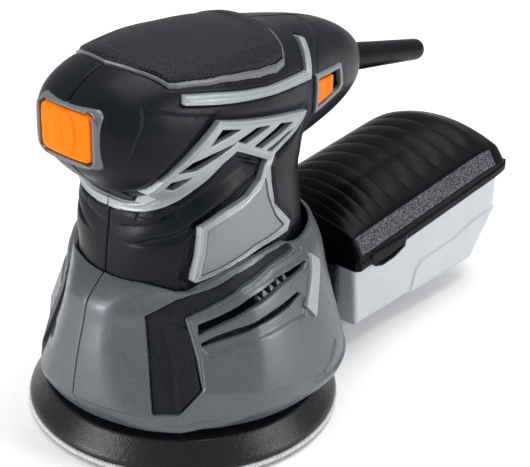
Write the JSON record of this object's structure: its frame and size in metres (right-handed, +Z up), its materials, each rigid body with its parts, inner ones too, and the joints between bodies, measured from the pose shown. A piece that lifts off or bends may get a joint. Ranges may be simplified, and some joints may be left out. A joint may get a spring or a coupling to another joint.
{
  "type": "random orbital sander",
  "caption": "Palm-grip random orbital sander with a round dust-holed pad, grey fan skirt, black head, orange switches and a plug-on dust box.",
  "frame": {"origin": "on the motor axis, at the centre of the sanding face", "axes": "+Z up along the motor axis, nose towards -Y, dust box towards +Y, slide button on the +X side"},
  "size_m": [0.1256, 0.245, 0.1583],
  "materials": {
    "black_plastic": "satin, fine grain",
    "soft_black": "matte, pebbled",
    "grey_paint": "satin metallic paint",
    "silver_paint": "satin metallic paint",
    "badge_paint": "satin metallic paint",
    "orange_plastic": "satin",
    "pad_rubber": "semi-gloss",
    "hook_fabric": "looped",
    "abrasive_paper": "gritty",
    "clear_plastic": "frosted",
    "steel": "machined",
    "laminations": "varnished",
    "copper": "enamelled",
    "carbon": "matte",
    "cast_metal": "cast",
    "circuit_board": "lacquered",
    "filter_paper": "pleated"
  },
  "bodies": {
    "housing": {"left_housing": "black_plastic", "right_housing": "black_plastic", "left_skirt": "grey_paint", "right_skirt": "grey_paint", "housing_screw_1": "steel", "housing_screw_2": "steel", "housing_screw_3": "steel", "housing_screw_4": "steel", "skirt_screw_1": "steel", "skirt_screw_2": "steel", "top_grip": "soft_black", "grip_trim": "silver_paint", "left_accent_strip": "silver_paint", "right_accent_strip": "silver_paint", "left_side_frame": "silver_paint", "right_side_frame": "silver_paint", "left_badge": "badge_paint", "right_badge": "badge_paint", "left_pocket_insert": "black_plastic", "right_pocket_insert": "black_plastic", "left_duct_bar": "silver_paint", "right_duct_bar": "silver_paint", "switch_frame": "silver_paint", "switch_body": "black_plastic", "slide_frame": "silver_paint", "speed_board": "circuit_board", "cord_boot": "soft_black", "cord_clamp": "black_plastic", "stator_core": "laminations", "front_field_coil": "copper", "rear_field_coil": "copper", "upper_bearing": "steel", "lower_bearing": "steel", "motor_plate": "cast_metal", "left_brush_holder": "cast_metal", "right_brush_holder": "cast_metal", "left_carbon_brush": "carbon", "right_carbon_brush": "carbon", "left_brush_spring": "steel", "right_brush_spring": "steel", "outlet_collar": "black_plastic"},
    "rotor": {"motor_shaft": "steel", "armature_core": "laminations", "armature_winding": "copper", "commutator": "copper", "fan": "black_plastic", "counterweight": "cast_metal", "pad_bearing": "steel"},
    "pad": {"pad_spindle": "steel", "pad_bolt": "steel", "backing_pad": "pad_rubber", "hook_layer": "hook_fabric", "abrasive_disc": "abrasive_paper"},
    "front_rocker": {"front_rocker": "orange_plastic"},
    "slide_button": {"slide_button": "orange_plastic"},
    "dust_box": {"dust_container": "clear_plastic", "inlet_seal": "soft_black"},
    "dust_lid": {"dust_lid": "black_plastic", "dust_filter": "filter_paper"}
  },
  "joints": [
    {"name": "rotor_spin", "type": "hinge", "parent": "housing", "child": "rotor", "pos_m": [0, 0, 0.08], "axis": [0, 0, 1], "continuous": true},
    {"name": "pad_spin", "type": "hinge", "parent": "rotor", "child": "pad", "pos_m": [0, -0.00125, 0.02], "axis": [0, 0, 1], "continuous": true},
    {"name": "rocker_tilt", "type": "hinge", "parent": "housing", "child": "front_rocker", "pos_m": [0, -0.056, 0.1339], "axis": [0, 0, 1], "range_deg": [-5, 5]},
    {"name": "speed_slide", "type": "slide", "parent": "housing", "child": "slide_button", "axis": [-0.25, 0.9682, 0], "range_m": [0, 0.004]},
    {"name": "box_pull", "type": "slide", "parent": "housing", "child": "dust_box", "axis": [0, 1, 0], "range_m": [0, 0.06]},
    {"name": "lid_lift", "type": "slide", "parent": "dust_box", "child": "dust_lid", "axis": [0, 0, 1], "range_m": [0, 0.012]}
  ]
}
